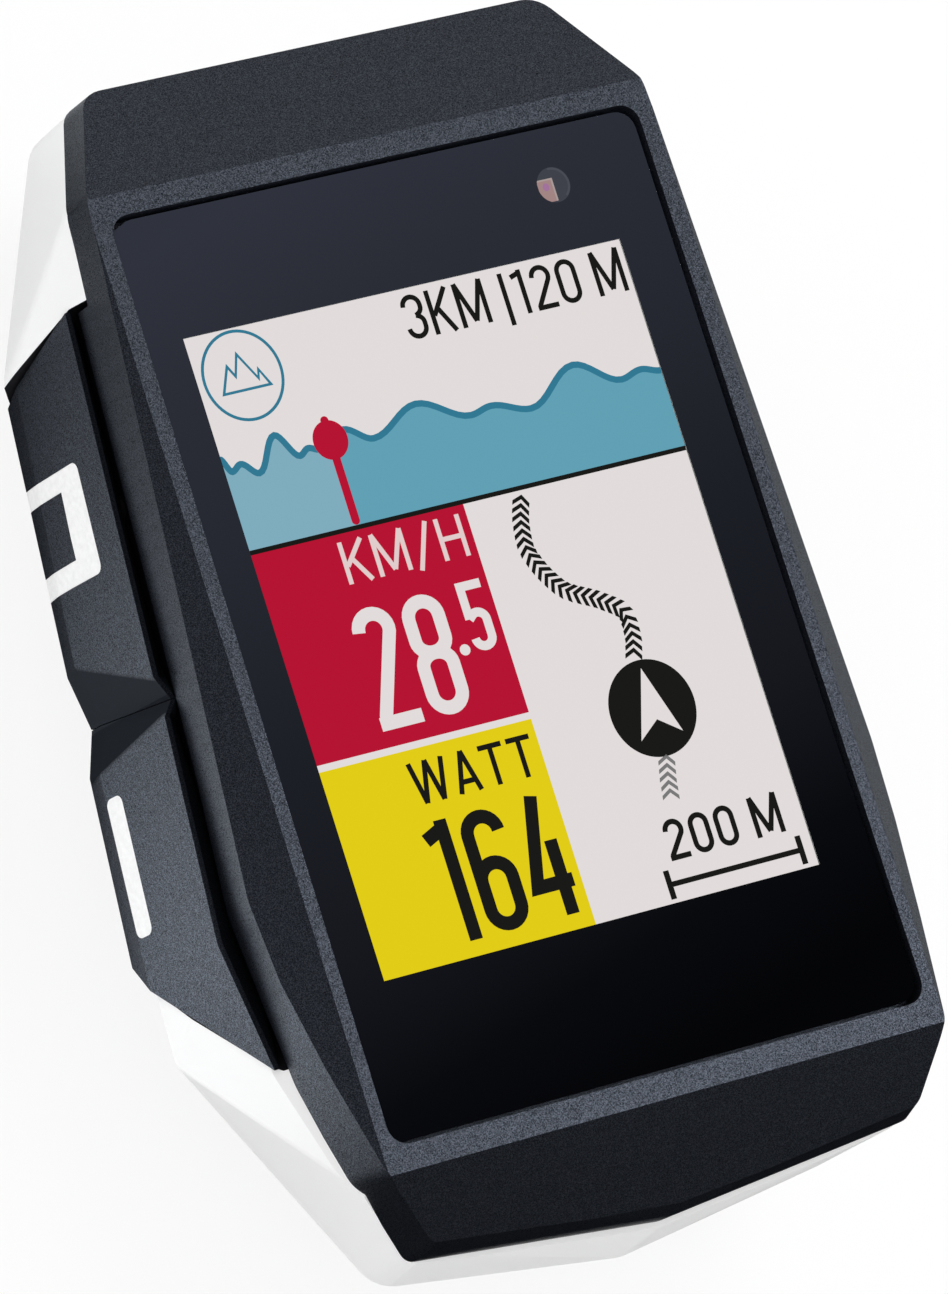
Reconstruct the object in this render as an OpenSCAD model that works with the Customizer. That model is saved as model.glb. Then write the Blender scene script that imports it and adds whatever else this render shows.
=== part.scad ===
// Handlebar cycling computer, lying on its back.
// Origin: mount axis, on the end face of the quarter-turn mount. +X right, +Y towards the
// top of the display, +Z out of the glass.

/* [Body] */
// Height of the flat rim around the glass, above the mount face
rim_z = 20.1; // [19.6:0.1:21]
// Half width of the flat rim
rim_half_w = 17.2; // [17:0.1:17.6]
// Rim line where the top bevel starts
rim_top_y = 27.3; // [27:0.1:28]
// Rim line where the bottom bevel starts
rim_bottom_y = -27; // [-27.4:0.1:-26.8]
// Drop of the top bevel per millimetre
top_slope = 0.484; // [0.4:0.01:0.55]
// Drop of the bottom bevel per millimetre
bottom_slope = 0.519; // [0.4:0.01:0.55]
// Height of the dark front wall, measured straight down
front_wall = 3; // [2.8:0.1:3.1]
// Flat top end of the body
end_y = 33.6; // [33.4:0.1:34]
// Height of the back surface above the mount face
back_z = 3.6; // [3.6:0.1:4]
// Thickness of the back floor
floor_t = 1.8; // [1.6:0.1:1.9]

/* [Display] */
// Width of the lit area
screen_w = 26.97; // [26:0.01:27]
// Height of the lit area
screen_h = 35.96; // [35:0.01:36]
// Height of the middle of the lit area along Y
screen_y = 1.1; // [0.9:0.1:1.3]
// Thickness of the cover glass
glass_t = 1.2; // [1:0.05:1.3]
// Gap around the cover glass
glass_gap = 0.2; // [0.2:0.05:0.4]

/* [Keys] */
// Travel of each side key
key_travel = 0.45; // [0.3:0.05:0.45]
// Gap between a key and the shell around it
key_gap = 0.15; // [0.1:0.05:0.2]
// Depth of the white symbols set into the keys
mark_depth = 0.3; // [0.2:0.05:0.4]
// Radius of each key's plunger
plunger_r = 0.75; // [0.6:0.05:0.75]

/* [Mount] */
// Radius of the round neck of the quarter-turn mount
neck_r = 12.8; // [12.6:0.1:12.9]
// Radius over the two lugs
lug_r = 15.6; // [15.4:0.1:15.8]
// Thickness of the lugs
lug_t = 1.7; // [1.6:0.1:1.8]
// Width of each lug
lug_w = 11; // [9:0.5:12]

/* [Hidden] */
big = 60;
skin = 0.02;
corner_steps = 5;
body_grey = [0.20, 0.22, 0.26];
shell_white = [0.93, 0.93, 0.93];
rubber_black = [0.05, 0.05, 0.06];
board_green = [0.05, 0.22, 0.14];

// Plan of the front cover, right half from the bottom point up to the top corner
cover_upper = [[19.3, -11], [17.1, 27.3], [14, end_y]];
cover_half = concat([[0, -32.3], [15.1, -30.8], [17.2, -27], [18.3, -20.7]], cover_upper);
cover_radii = [2, 1, 3, 8, 6, 3, 1.6, 1.6, 3, 6, 8, 3, 1];
// The wall of the front cover flares out at its bottom end: plans at the rim and at the flare level
rim_half = concat([[0, -31.4], [14.8, -30.4], [17.2, -27], [18.15, -20.7]], cover_upper);
flare_half = concat([[0, -32.75], [15.4, -31.25], [17.85, -26.7], [18.75, -20.7]], cover_upper);
flare_z = 16;
// Skirt of the front cover that hangs over the keys
skirt_z = 15.45;
skirt_t = 0.9;
skirt_y = [-19.3, 22.3];
// Plan of the body at its widest level
belt_half = [[0, -33.7], [14.5, -31.7], [21.75, -17.3], [21.65, -14.5], [19.7, 20.5], [13.7, end_y]];
belt_radii = [3, 2.5, 1.5, 3, 5, 2, 2, 5, 3, 1.5, 2.5];
belt_z = 8.3;
wall_top_z = 16.8;
// Levels of the curved back: height and how far the belt plan is drawn in
back_levels = [[6.6, 0.9], [4.7, 2.3], [back_z, 4.6]];
cavity_levels = [[belt_z, 2.2], [6.9, 2.7], [back_z + floor_t, 4.2]];
rim_wall = 2.75;
// Half plan of the space between the key pockets
core_half = [[16, -40], [16, 0.6], [14.75, 22.5], [14.2, 40]];

// Opening for the glass, and the ledge opening below it
glass_half = [[16.5, -25.6], [16.2, 26.05]];
glass_bottom_z = 18.7;
pocket_z = 18.45;
ledge_half_w = 14.95;
ledge_y = [-20.9, 20.7];
tray_half_w = 14.7;
tray_y = [-20.4, 20.2];
tray_z = 15.8;
cell_z = 17.45;

// Side keys, right-hand side: plan points at the ridge, belt and foot levels
ridge_z = 15.3;
foot_z = 6.6;
// The tops slope down from a narrow ridge towards the body
ridge_flat = 0.3;
groove_drop = 2;
upper_ridge = [[18.05, 22.5], [19.45, 2.3], [18.85, 0.95]];
upper_belt = [[18.95, 20.4], [20.5, 4.9], [20.05, 1.45]];
upper_foot = [[19, 19.7], [20.35, 4.6], [19.9, 1.55]];
lower_ridge = [[18.85, 0.9], [19.5, 0.1], [20.5, -12.4], [19.5, -19.6]];
lower_belt = [[20.05, 1.4], [21, -1.3], [21.9, -13], [21.9, -13.1]];
lower_foot = [[19.9, 1.5], [20.85, -1], [21.75, -11.4], [21.75, -11.5]];
// Inner face of the keys: three plan points on a bent line
key_back = [[16.75, 22.5], [18.1, 0.6], [18.1, -19.6]];
seal_t = 0.5;
pocket_depth = key_travel + 0.05 + seal_t;
side_wall = 0.95;
upper_press_y = 12;
lower_press_y = -7;
press_z = 11.9;
plunger_end_x = 14.3;
// Side view of the key pocket, as Y and Z
pocket_side = [[22.5, 19.5], [22.5, ridge_z], [20.4, belt_z], [19.7, foot_z], [-11.5, foot_z],
  [-13.1, belt_z], [-19.6, ridge_z], [-19.6, 19.5]];

// Electronics
board_z = 13.1;
board_t = 1;
board_half_w = 13.7;
board_y = [-24, 25.2];
battery_size = [28, 33.6, 4.6];
battery_y = 1;
battery_z = 6;
sensor_pos = [10.6, 22.8];
vent_pos = [0, -25.5];

// Screws
case_screw_pos = [[11.5, 27.6], [-11.5, 27.6], [11.5, -26], [-11.5, -26]];
case_boss_r = 2;
case_boss_z = 9;
case_head_z = 5.2;
mount_screw_ring = 8.5;

// USB opening and its cover, on the top end
usb_z = 11.5;
cover_w = 12.6;
cover_t = 1.3;
cover_bottom_z = 9.55;
cover_top_z = 13.5;
recess_depth = 1.4;
cover_gap = 0.15;

// ---- plan geometry ----
function unit(v) = v / norm(v);
function left_of(v) = [-v.y, v.x];
function turned(v, a) = [v.x * cos(a) - v.y * sin(a), v.x * sin(a) + v.y * cos(a)];
function item(pts, i) = pts[(i + len(pts)) % len(pts)];
function drawn_in(a, q, b, d) =
  let (na = left_of(unit(q - a)), nb = left_of(unit(b - q))) q + (na + nb) * d / (1 + na * nb);
function inset(pts, d) =
  [for (i = [0:len(pts) - 1]) drawn_in(item(pts, i - 1), pts[i], item(pts, i + 1), d)];
function mirrored(half) =
  concat(half, [for (i = [len(half) - 1:-1:0]) if (half[i].x > 0) [-half[i].x, half[i].y]]);
// Convex corner replaced by an arc of the given radius
function arc_corner(a, q, b, r) =
  let (
    ua = unit(q - a),
    ub = unit(b - q),
    turn = acos(min(1, ua * ub)),
    centre = drawn_in(a, q, b, r)
  )
  [for (i = [0:corner_steps]) centre - r * turned(left_of(ua), turn * i / corner_steps)];
function rounded(pts, radii) =
  [for (i = [0:len(pts) - 1]) each arc_corner(item(pts, i - 1), pts[i], item(pts, i + 1), radii[i])];
function line_x(y) =
  y > key_back[1].y
    ? key_back[0].x + (key_back[0].y - y) * (key_back[1].x - key_back[0].x) / (key_back[0].y - key_back[1].y)
    : key_back[1].x + (key_back[1].y - y) * (key_back[2].x - key_back[1].x) / (key_back[1].y - key_back[2].y);

flare_plan = rounded(mirrored(flare_half), cover_radii);
belt_plan = mirrored(belt_half);
function belt_level(d) = rounded(inset(belt_plan, d), belt_radii);
function cover_inset(d) = inset(mirrored(cover_half), d);

module slab(pts, z, t = skin) {
  translate([0, 0, z]) linear_extrude(t) polygon(pts);
}

module block(x, y, z) {
  translate([x[0], y[0], z[0]]) cube([x[1] - x[0], y[1] - y[0], z[1] - z[0]]);
}

module rod(r, z0, z1) {
  translate([0, 0, z0]) cylinder(r = r, h = z1 - z0, $fn = 48);
}

// Everything below the faceted front surface, lowered by a drop
module below_front(drop) {
  top = rim_z - drop;
  intersection() {
    rotate([90, 0, 90]) linear_extrude(2 * big, center = true)
      polygon([[-big, -1], [big, -1], [big, top - (big - rim_top_y) * top_slope],
        [rim_top_y, top], [rim_bottom_y, top], [-big, top - (big + rim_bottom_y) * bottom_slope]]);
    rotate([90, 0, 0]) linear_extrude(2 * big, center = true)
      polygon([[-big, -1], [big, -1], [big, top - big + rim_half_w], [rim_half_w, top],
        [-rim_half_w, top], [-big, top - big + rim_half_w]]);
  }
}

function glass_plan(gap) =
  let (low = glass_half[0], high = glass_half[1])
  rounded(mirrored([[low.x - gap, low.y + gap], [high.x - gap, high.y - gap]]), [1, 1, 1, 1] * 1.1);

module cover_outer() {
  hull() {
    slab(rounded(mirrored(rim_half), cover_radii), rim_z);
    slab(flare_plan, flare_z);
  }
  slab(flare_plan, 1, flare_z - 1);
}

module skirt() intersection() {
  difference() {
    cover_outer();
    slab(inset(mirrored(flare_half), skirt_t), 0, 30);
  }
  block([-big, big], skirt_y, [skirt_z, rim_z - front_wall + 0.1]);
}

// ---- front ----
module front_cover() color(body_grey) {
  difference() {
    union() {
      difference() {
        intersection() {
          cover_outer();
          below_front(0);
        }
        below_front(front_wall);
      }
      skirt();
      for (p = case_screw_pos) translate(p) rod(case_boss_r, case_boss_z, 17.8);
    }
    slab(glass_plan(0), pocket_z, 3);
    block([-ledge_half_w, ledge_half_w], ledge_y, [15, 20]);
    translate(sensor_pos) rod(1.25, 15, 20);
    for (p = case_screw_pos) translate(p) rod(0.8, case_boss_z - 1, 16.5);
  }
}

module cover_lens() color([0.05, 0.05, 0.07]) {
  slab(glass_plan(glass_gap), glass_bottom_z, glass_t);
}

module lens_gasket() color(rubber_black) difference() {
  slab(glass_plan(glass_gap + 0.1), pocket_z, glass_bottom_z - pocket_z);
  block([-ledge_half_w, ledge_half_w], ledge_y, [18, 20]);
  translate(sensor_pos) rod(1.25, 18, 20);
}

module display_panel() color([0.86, 0.88, 0.86]) {
  block([-screen_w / 2 - 0.8, screen_w / 2 + 0.8],
    [screen_y - screen_h / 2 - 2.6, screen_y + screen_h / 2 + 0.8], [cell_z, glass_bottom_z - 0.08]);
}

module backlight_unit() color([0.9, 0.9, 0.92]) {
  block([-screen_w / 2 - 0.8, screen_w / 2 + 0.8],
    [screen_y - screen_h / 2 - 2.4, screen_y + screen_h / 2 + 0.8], [tray_z + 0.3, cell_z]);
}

module display_tray() color("silver") difference() {
  block([-tray_half_w, tray_half_w], tray_y, [tray_z, cell_z + 0.9]);
  block([-screen_w / 2 - 0.82, screen_w / 2 + 0.82],
    [screen_y - screen_h / 2 - 2.62, screen_y + screen_h / 2 + 0.82], [tray_z + 0.3, 20]);
  block([-5.2, 5.2], [tray_y[0] - 1, tray_y[0] + 1.5], [cell_z - 0.01, 20]);
}

// Ribbon from the foot of the panel, over the tray's edge and back under it to the board
module display_flex() color([0.75, 0.45, 0.12]) {
  t = 0.15;
  y_out = tray_y[0] - 0.35;
  y_in = screen_y - screen_h / 2 - 2.6;
  z_low = board_z + board_t + 0.5;
  rotate([90, 0, 90]) linear_extrude(10, center = true)
    polygon([[y_in, cell_z], [y_in, cell_z + t], [y_out - t, cell_z + t], [y_out - t, z_low],
      [tray_y[0] + 1.5, z_low], [tray_y[0] + 1.5, z_low + t], [y_out, z_low + t], [y_out, cell_z]]);
}

module flex_connector() color([0.12, 0.12, 0.12]) {
  block([-5.5, 5.5], [tray_y[0] - 0.2, tray_y[0] + 2.4], [board_z + board_t, board_z + board_t + 0.5]);
}

module light_pipe() color([0.85, 0.86, 0.9, 0.6]) translate(sensor_pos) {
  rod(1.15, board_z + board_t + 0.7, glass_bottom_z);
}

module light_sensor() color([0.3, 0.2, 0.35]) translate(sensor_pos) {
  block([-1, 1], [-1, 1], [board_z + board_t, board_z + board_t + 0.7]);
}

// ---- electronics ----
module main_board() color(board_green) {
  block([-board_half_w, board_half_w], board_y, [board_z, board_z + board_t]);
}

module shield_cans() color("silver") {
  block([-10.5, -1.5], [0, 14], [board_z - 1.4, board_z]);
  block([1, 10], [-12, 8], [board_z - 1.4, board_z]);
}

module gps_antenna() color([0.8, 0.75, 0.65]) {
  block([-9, 5], [20.9, 24.9], [board_z + board_t, board_z + board_t + 2.8]);
}

module pressure_sensor() color("silver") {
  block([2, 4], [-23, -21], [board_z - 0.9, board_z]);
}

module buzzer() color([0.1, 0.1, 0.1]) {
  block([-11, -3.6], [-23.6, -16.6], [board_z - 2.4, board_z]);
}

module battery() color([0.55, 0.58, 0.62]) {
  block([-battery_size.x / 2, battery_size.x / 2],
    [battery_y - battery_size.y / 2, battery_y + battery_size.y / 2],
    [battery_z, battery_z + battery_size.z]);
}

module battery_pad() color([0.15, 0.15, 0.15]) {
  block([-12, 12], [battery_y - 15, battery_y + 15], [back_z + floor_t, battery_z]);
}

module battery_lead() color([0.75, 0.1, 0.1]) {
  plug_y = -20.5;
  block([6, 11], [plug_y - 1.5, plug_y + 1.5], [board_z - 1.6, board_z]);
  for (x = [7.6, 9.4]) {
    translate([x, plug_y + 2.6, 10]) sphere(r = 0.45, $fn = 24);
    translate([x, plug_y + 2.6, 10]) rotate([-90, 0, 0]) cylinder(r = 0.45, h = 2.05, $fn = 24);
    translate([x, plug_y + 2.6, 10]) cylinder(r = 0.45, h = 2.4, $fn = 24);
    translate([x, plug_y + 2.6, 12.4]) sphere(r = 0.45, $fn = 24);
    translate([x, plug_y + 1, 12.4]) rotate([-90, 0, 0]) cylinder(r = 0.45, h = 1.6, $fn = 24);
  }
}

module usb_profile(w, h, grow = 0) {
  r = h / 2 + grow;
  for (x = [-1, 1]) translate([x * (w / 2 - h / 2), 0]) circle(r = r, $fn = 48);
  square([w - h, 2 * r], center = true);
}

module usb_connector() color("silver") {
  translate([0, 31.05, usb_z]) rotate([90, 0, 0]) difference() {
    linear_extrude(7.35) usb_profile(8.94, 3.2);
    translate([0, 0, -1]) linear_extrude(7) usb_profile(8.3, 2.6);
  }
  block([-3.4, 3.4], [24.5, 30], [usb_z - 0.35, usb_z + 0.35]);
}

module side_switches() color([0.85, 0.85, 0.8]) {
  switch_x = [11, plunger_end_x - key_travel - 0.1];
  for (side = [-1, 1]) for (y = [upper_press_y, lower_press_y]) translate([0, y, 0])
    mirror([side < 0 ? 1 : 0, 0, 0]) block(switch_x, [-1.8, 1.8], [press_z - 1.2, board_z]);
}

// ---- back ----
module body_outer() hull() {
  slab(flare_plan, wall_top_z);
  slab(belt_level(0), belt_z);
  for (level = back_levels) slab(belt_level(level[1]), level[0]);
}

module cavity() intersection() {
  union() {
    hull() {
      slab(cover_inset(rim_wall), wall_top_z);
      for (level = cavity_levels) slab(belt_level(level[1]), level[0]);
    }
    slab(cover_inset(rim_wall), wall_top_z, 4);
  }
  slab(mirrored(core_half), 0, 30);
}

// Space behind the key face, from a given distance inwards of the key's back
module key_space(inward, grow) {
  intersection() {
    slab([[line_x(25) - inward, 25], [line_x(key_back[1].y) - inward, key_back[1].y],
      [line_x(-23) - inward, -23], [40, -23], [40, 25]], 0, 30);
    rotate([90, 0, 90]) linear_extrude(40)
      polygon([for (p = pocket_side) [p.x + (p.x > 0 ? grow : -grow), p.y - (p.y < 7 ? grow : 0)]]);
  }
}

module both_sides() {
  children();
  mirror([1, 0, 0]) children();
}

module seal_ring() intersection() {
  difference() {
    slab(cover_inset(2.25), 1, 30);
    slab(cover_inset(rim_wall + 0.05), 0, 40);
  }
  below_front(front_wall);
}

module back_cover() color(shell_white) {
  difference() {
    union() {
      difference() {
        union() {
          body_outer();
          slab(flare_plan, wall_top_z, 4);
        }
        cavity();
      }
      for (p = case_screw_pos) translate(p) rod(case_boss_r, back_z + floor_t - 0.6, case_boss_z);
    }
    // parting surface under the front cover
    difference() {
      slab(inset(mirrored(cover_half), -5), 8, 20);
      below_front(front_wall);
    }
    difference() {
      seal_ring();
      below_front(front_wall + 0.6);
    }
    both_sides() key_space(pocket_depth, key_gap);
    both_sides() for (y = [upper_press_y, lower_press_y])
      translate([12, y, press_z]) rotate([0, 90, 0]) cylinder(r = plunger_r + 0.05, h = 12, $fn = 48);
    for (p = case_screw_pos) translate(p) {
      rod(0.95, 2, 12);
      rod(1.75, 1, case_head_z + 1.1);
    }
    for (a = [45:90:315]) rotate(a) translate([mount_screw_ring, 0, 0]) rod(0.75, 2, back_z + 1.6);
    translate(vent_pos) rod(0.6, 1, 8);
    // recess and port for the USB connector
    block([-cover_w / 2 - cover_gap, cover_w / 2 + cover_gap], [end_y - recess_depth, end_y + 5],
      [cover_bottom_z - cover_t / 2 - cover_gap, cover_top_z + cover_gap]);
    translate([0, end_y + 1, usb_z]) rotate([90, 0, 0]) linear_extrude(8) usb_profile(9.3, 3.6, 0.1);
  }
}

module housing_seal() color([0.75, 0.3, 0.1]) difference() {
  seal_ring();
  below_front(front_wall + 0.6);
}

module vent_membrane() color([0.9, 0.9, 0.85]) translate(vent_pos) {
  rod(1.9, back_z + floor_t, back_z + floor_t + 0.2);
}

module usb_cover() color(rubber_black) {
  difference() {
    union() {
      block([-cover_w / 2, cover_w / 2], [end_y - cover_t, end_y], [cover_bottom_z, cover_top_z]);
      translate([-cover_w / 2, end_y - cover_t / 2, cover_bottom_z]) rotate([0, 90, 0])
        cylinder(r = cover_t / 2, h = cover_w, $fn = 48);
      translate([0, end_y - cover_t, usb_z]) rotate([90, 0, 0]) linear_extrude(0.75) usb_profile(8.0, 2.5);
    }
    // finger notch
    block([-2.5, 2.5], [end_y - 0.5, end_y + 1], [cover_top_z - 0.6, cover_top_z + 1]);
  }
}

module case_screws() color("dimgray") for (p = case_screw_pos) translate(p) {
  difference() {
    rod(1.6, case_head_z, case_head_z + 1.1);
    rod(0.7, case_head_z - 1, case_head_z + 0.6);
  }
  rod(0.75, case_head_z + 1, 15.5);
}

module mount_puck() color(rubber_black) difference() {
  union() {
    rod(neck_r, 0, back_z);
    intersection() {
      rod(lug_r, 0, lug_t);
      block([-lug_r, lug_r], [-lug_w / 2, lug_w / 2], [0, lug_t]);
    }
  }
  for (a = [45:90:315]) rotate(a) translate([mount_screw_ring, 0, 0]) {
    rod(0.95, -1, back_z + 1);
    rod(1.8, -1, 1.5);
  }
  // round groove in the end face
  difference() {
    rod(5.6, -1, 0.4);
    rod(4.8, -2, 1);
  }
}

module mount_screws() color("silver") for (a = [45:90:315]) rotate(a)
  translate([mount_screw_ring, 0, 0]) {
    difference() {
      rod(1.65, 0.3, 1.5);
      rod(0.7, -1, 0.9);
    }
    rod(0.7, 1.4, back_z + 1.5);
  }

// ---- keys, drawn on the right-hand side ----
// One stretch of a key for each stretch of its ridge
module key_solid(ridge, belt, foot) {
  function backed(a, b) = [a, b, [line_x(b.y), b.y], [line_x(a.y), a.y]];
  // share of the way from the ridge down to the belt at which the top meets the back face
  share = groove_drop / (ridge_z - belt_z);
  function groove_y(i) = ridge[i].y + (belt[i].y - ridge[i].y) * share;
  function groove_point(i, x) = [line_x(groove_y(i)) + x, groove_y(i)];
  flat = [ridge_flat, 0];
  for (i = [0:len(ridge) - 2]) hull() {
    slab([ridge[i], ridge[i + 1], ridge[i + 1] - flat, ridge[i] - flat], ridge_z - skin);
    slab([groove_point(i, skin), groove_point(i + 1, skin), groove_point(i + 1, 0), groove_point(i, 0)],
      ridge_z - groove_drop);
    slab(backed(belt[i], belt[i + 1]), belt_z);
    slab(backed(foot[i], foot[i + 1]), foot_z);
  }
}

module upper_solid() key_solid(upper_ridge, upper_belt, upper_foot);
module lower_solid() key_solid(lower_ridge, lower_belt, lower_foot);

// Symbols as Y and Z, seen from the side
module soft_rect(y, z, r) {
  polygon(rounded([[y[0], z[0]], [y[1], z[0]], [y[1], z[1]], [y[0], z[1]]], [1, 1, 1, 1] * r));
}

module frame_symbol() difference() {
  soft_rect([8.8, 15], [foot_z - 1, 13], 0.5);
  translate([10.1, foot_z - 2]) square([3.75, 10.8 - foot_z + 2]);
}

module bar_symbol() soft_rect([-10.3, -2.6], [8.3, 9.8], 0.45);

module ring_symbol() difference() {
  translate([11.8, 10.6]) circle(r = 2.3, $fn = 48);
  translate([11.8, 10.6]) circle(r = 1.4, $fn = 48);
}

module dot_symbol() translate([-7, 10]) circle(r = 1.5, $fn = 48);

module along_x() rotate([90, 0, 90]) translate([0, 0, 10]) linear_extrude(20) children();

module keycap(part, symbol) color(body_grey) difference() {
  pick_solid(part);
  difference() {
    along_x() pick_symbol(symbol);
    translate([-mark_depth, 0, 0]) pick_solid(part);
  }
}

module mark(part, symbol) color("white") difference() {
  intersection() {
    pick_solid(part);
    along_x() pick_symbol(symbol);
  }
  translate([-mark_depth, 0, 0]) pick_solid(part);
}

module pick_solid(part) {
  if (part == "upper") upper_solid();
  else lower_solid();
}

module pick_symbol(symbol) {
  if (symbol == "frame") frame_symbol();
  else if (symbol == "bar") bar_symbol();
  else if (symbol == "ring") ring_symbol();
  else dot_symbol();
}

module plunger(y) color([0.8, 0.8, 0.75]) translate([plunger_end_x, y, press_z]) rotate([0, 90, 0])
  cylinder(r = plunger_r, h = line_x(y) - plunger_end_x - 0.1, $fn = 48);

// Rubber sheet behind the keys, glued to the shell
module key_seal() color(rubber_black) difference() {
  intersection() {
    difference() {
      key_space(pocket_depth, 0);
      key_space(pocket_depth - seal_t, 5);
    }
    below_front(front_wall);
  }
  for (y = [upper_press_y, lower_press_y])
    translate([12, y, press_z]) rotate([0, 90, 0]) cylinder(r = plunger_r + 0.08, h = 12, $fn = 48);
}

module left() mirror([1, 0, 0]) children();

front_cover();
cover_lens();
lens_gasket();
display_panel();
backlight_unit();
display_tray();
display_flex();
flex_connector();
light_pipe();
light_sensor();
main_board();
shield_cans();
gps_antenna();
pressure_sensor();
buzzer();
battery();
battery_pad();
battery_lead();
usb_connector();
usb_cover();
housing_seal();
back_cover();
vent_membrane();
case_screws();
mount_puck();
mount_screws();
side_switches();
left() key_seal();  // left_key_seal
key_seal();  // right_key_seal
left() keycap("upper", "frame");  // left_upper_key
left() keycap("lower", "bar");  // left_lower_key
keycap("upper", "ring");  // right_upper_key
keycap("lower", "dot");  // right_lower_key
left() mark("upper", "frame");  // left_upper_mark
left() mark("lower", "bar");  // left_lower_mark
mark("upper", "ring");  // right_upper_mark
mark("lower", "dot");  // right_lower_mark
left() plunger(upper_press_y);  // left_upper_plunger
left() plunger(lower_press_y);  // left_lower_plunger
plunger(upper_press_y);  // right_upper_plunger
plunger(lower_press_y);  // right_lower_plunger
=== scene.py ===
"""Looks for the cycling computer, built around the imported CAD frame.

Sizes are in metres, except that the flat shapes on the screen are drawn in millimetres from its centre.
"""

import math

import bmesh
import bpy
from mathutils import Euler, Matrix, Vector


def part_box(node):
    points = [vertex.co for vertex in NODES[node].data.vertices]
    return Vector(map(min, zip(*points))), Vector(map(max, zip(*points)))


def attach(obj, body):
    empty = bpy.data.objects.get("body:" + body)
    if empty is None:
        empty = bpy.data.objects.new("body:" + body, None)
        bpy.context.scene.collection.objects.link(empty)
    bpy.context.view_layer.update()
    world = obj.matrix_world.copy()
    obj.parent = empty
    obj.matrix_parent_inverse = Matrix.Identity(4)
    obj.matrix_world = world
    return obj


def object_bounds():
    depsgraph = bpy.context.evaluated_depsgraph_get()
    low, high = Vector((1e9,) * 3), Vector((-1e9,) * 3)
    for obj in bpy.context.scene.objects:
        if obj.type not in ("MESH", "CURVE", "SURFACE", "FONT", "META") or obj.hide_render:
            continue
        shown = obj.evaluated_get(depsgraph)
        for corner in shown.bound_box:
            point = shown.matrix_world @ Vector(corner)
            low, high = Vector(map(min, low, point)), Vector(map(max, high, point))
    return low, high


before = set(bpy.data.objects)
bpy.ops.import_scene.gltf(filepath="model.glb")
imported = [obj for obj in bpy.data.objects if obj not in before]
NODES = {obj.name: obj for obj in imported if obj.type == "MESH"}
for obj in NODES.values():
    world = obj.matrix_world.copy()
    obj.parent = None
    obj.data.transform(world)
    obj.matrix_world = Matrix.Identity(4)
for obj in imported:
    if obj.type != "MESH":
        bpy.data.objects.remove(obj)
CAD_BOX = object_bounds()
MM = 0.001

# ---------------------------------------------------------------- places taken from the frame
PANEL_LO, PANEL_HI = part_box("display_panel")
SCREEN_W_MM, SCREEN_H_MM = 26.97, 35.96
PANEL_TOP_MARGIN_MM = 0.8
SCREEN_CENTRE = Vector((0, PANEL_HI.y - (PANEL_TOP_MARGIN_MM + SCREEN_H_MM / 2) * MM, PANEL_HI.z))
LENS_LO, LENS_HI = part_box("cover_lens")
PIPE_LO, PIPE_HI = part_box("light_pipe")
SENSOR = (PIPE_LO + PIPE_HI) / 2
FOOTPRINT = (CAD_BOX[1] - CAD_BOX[0]) / 2
KEY_TOP_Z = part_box("left_upper_key")[1].z
KEY_PARTING_Y = (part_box("left_upper_key")[0].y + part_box("left_lower_key")[1].y) / 2


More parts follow.
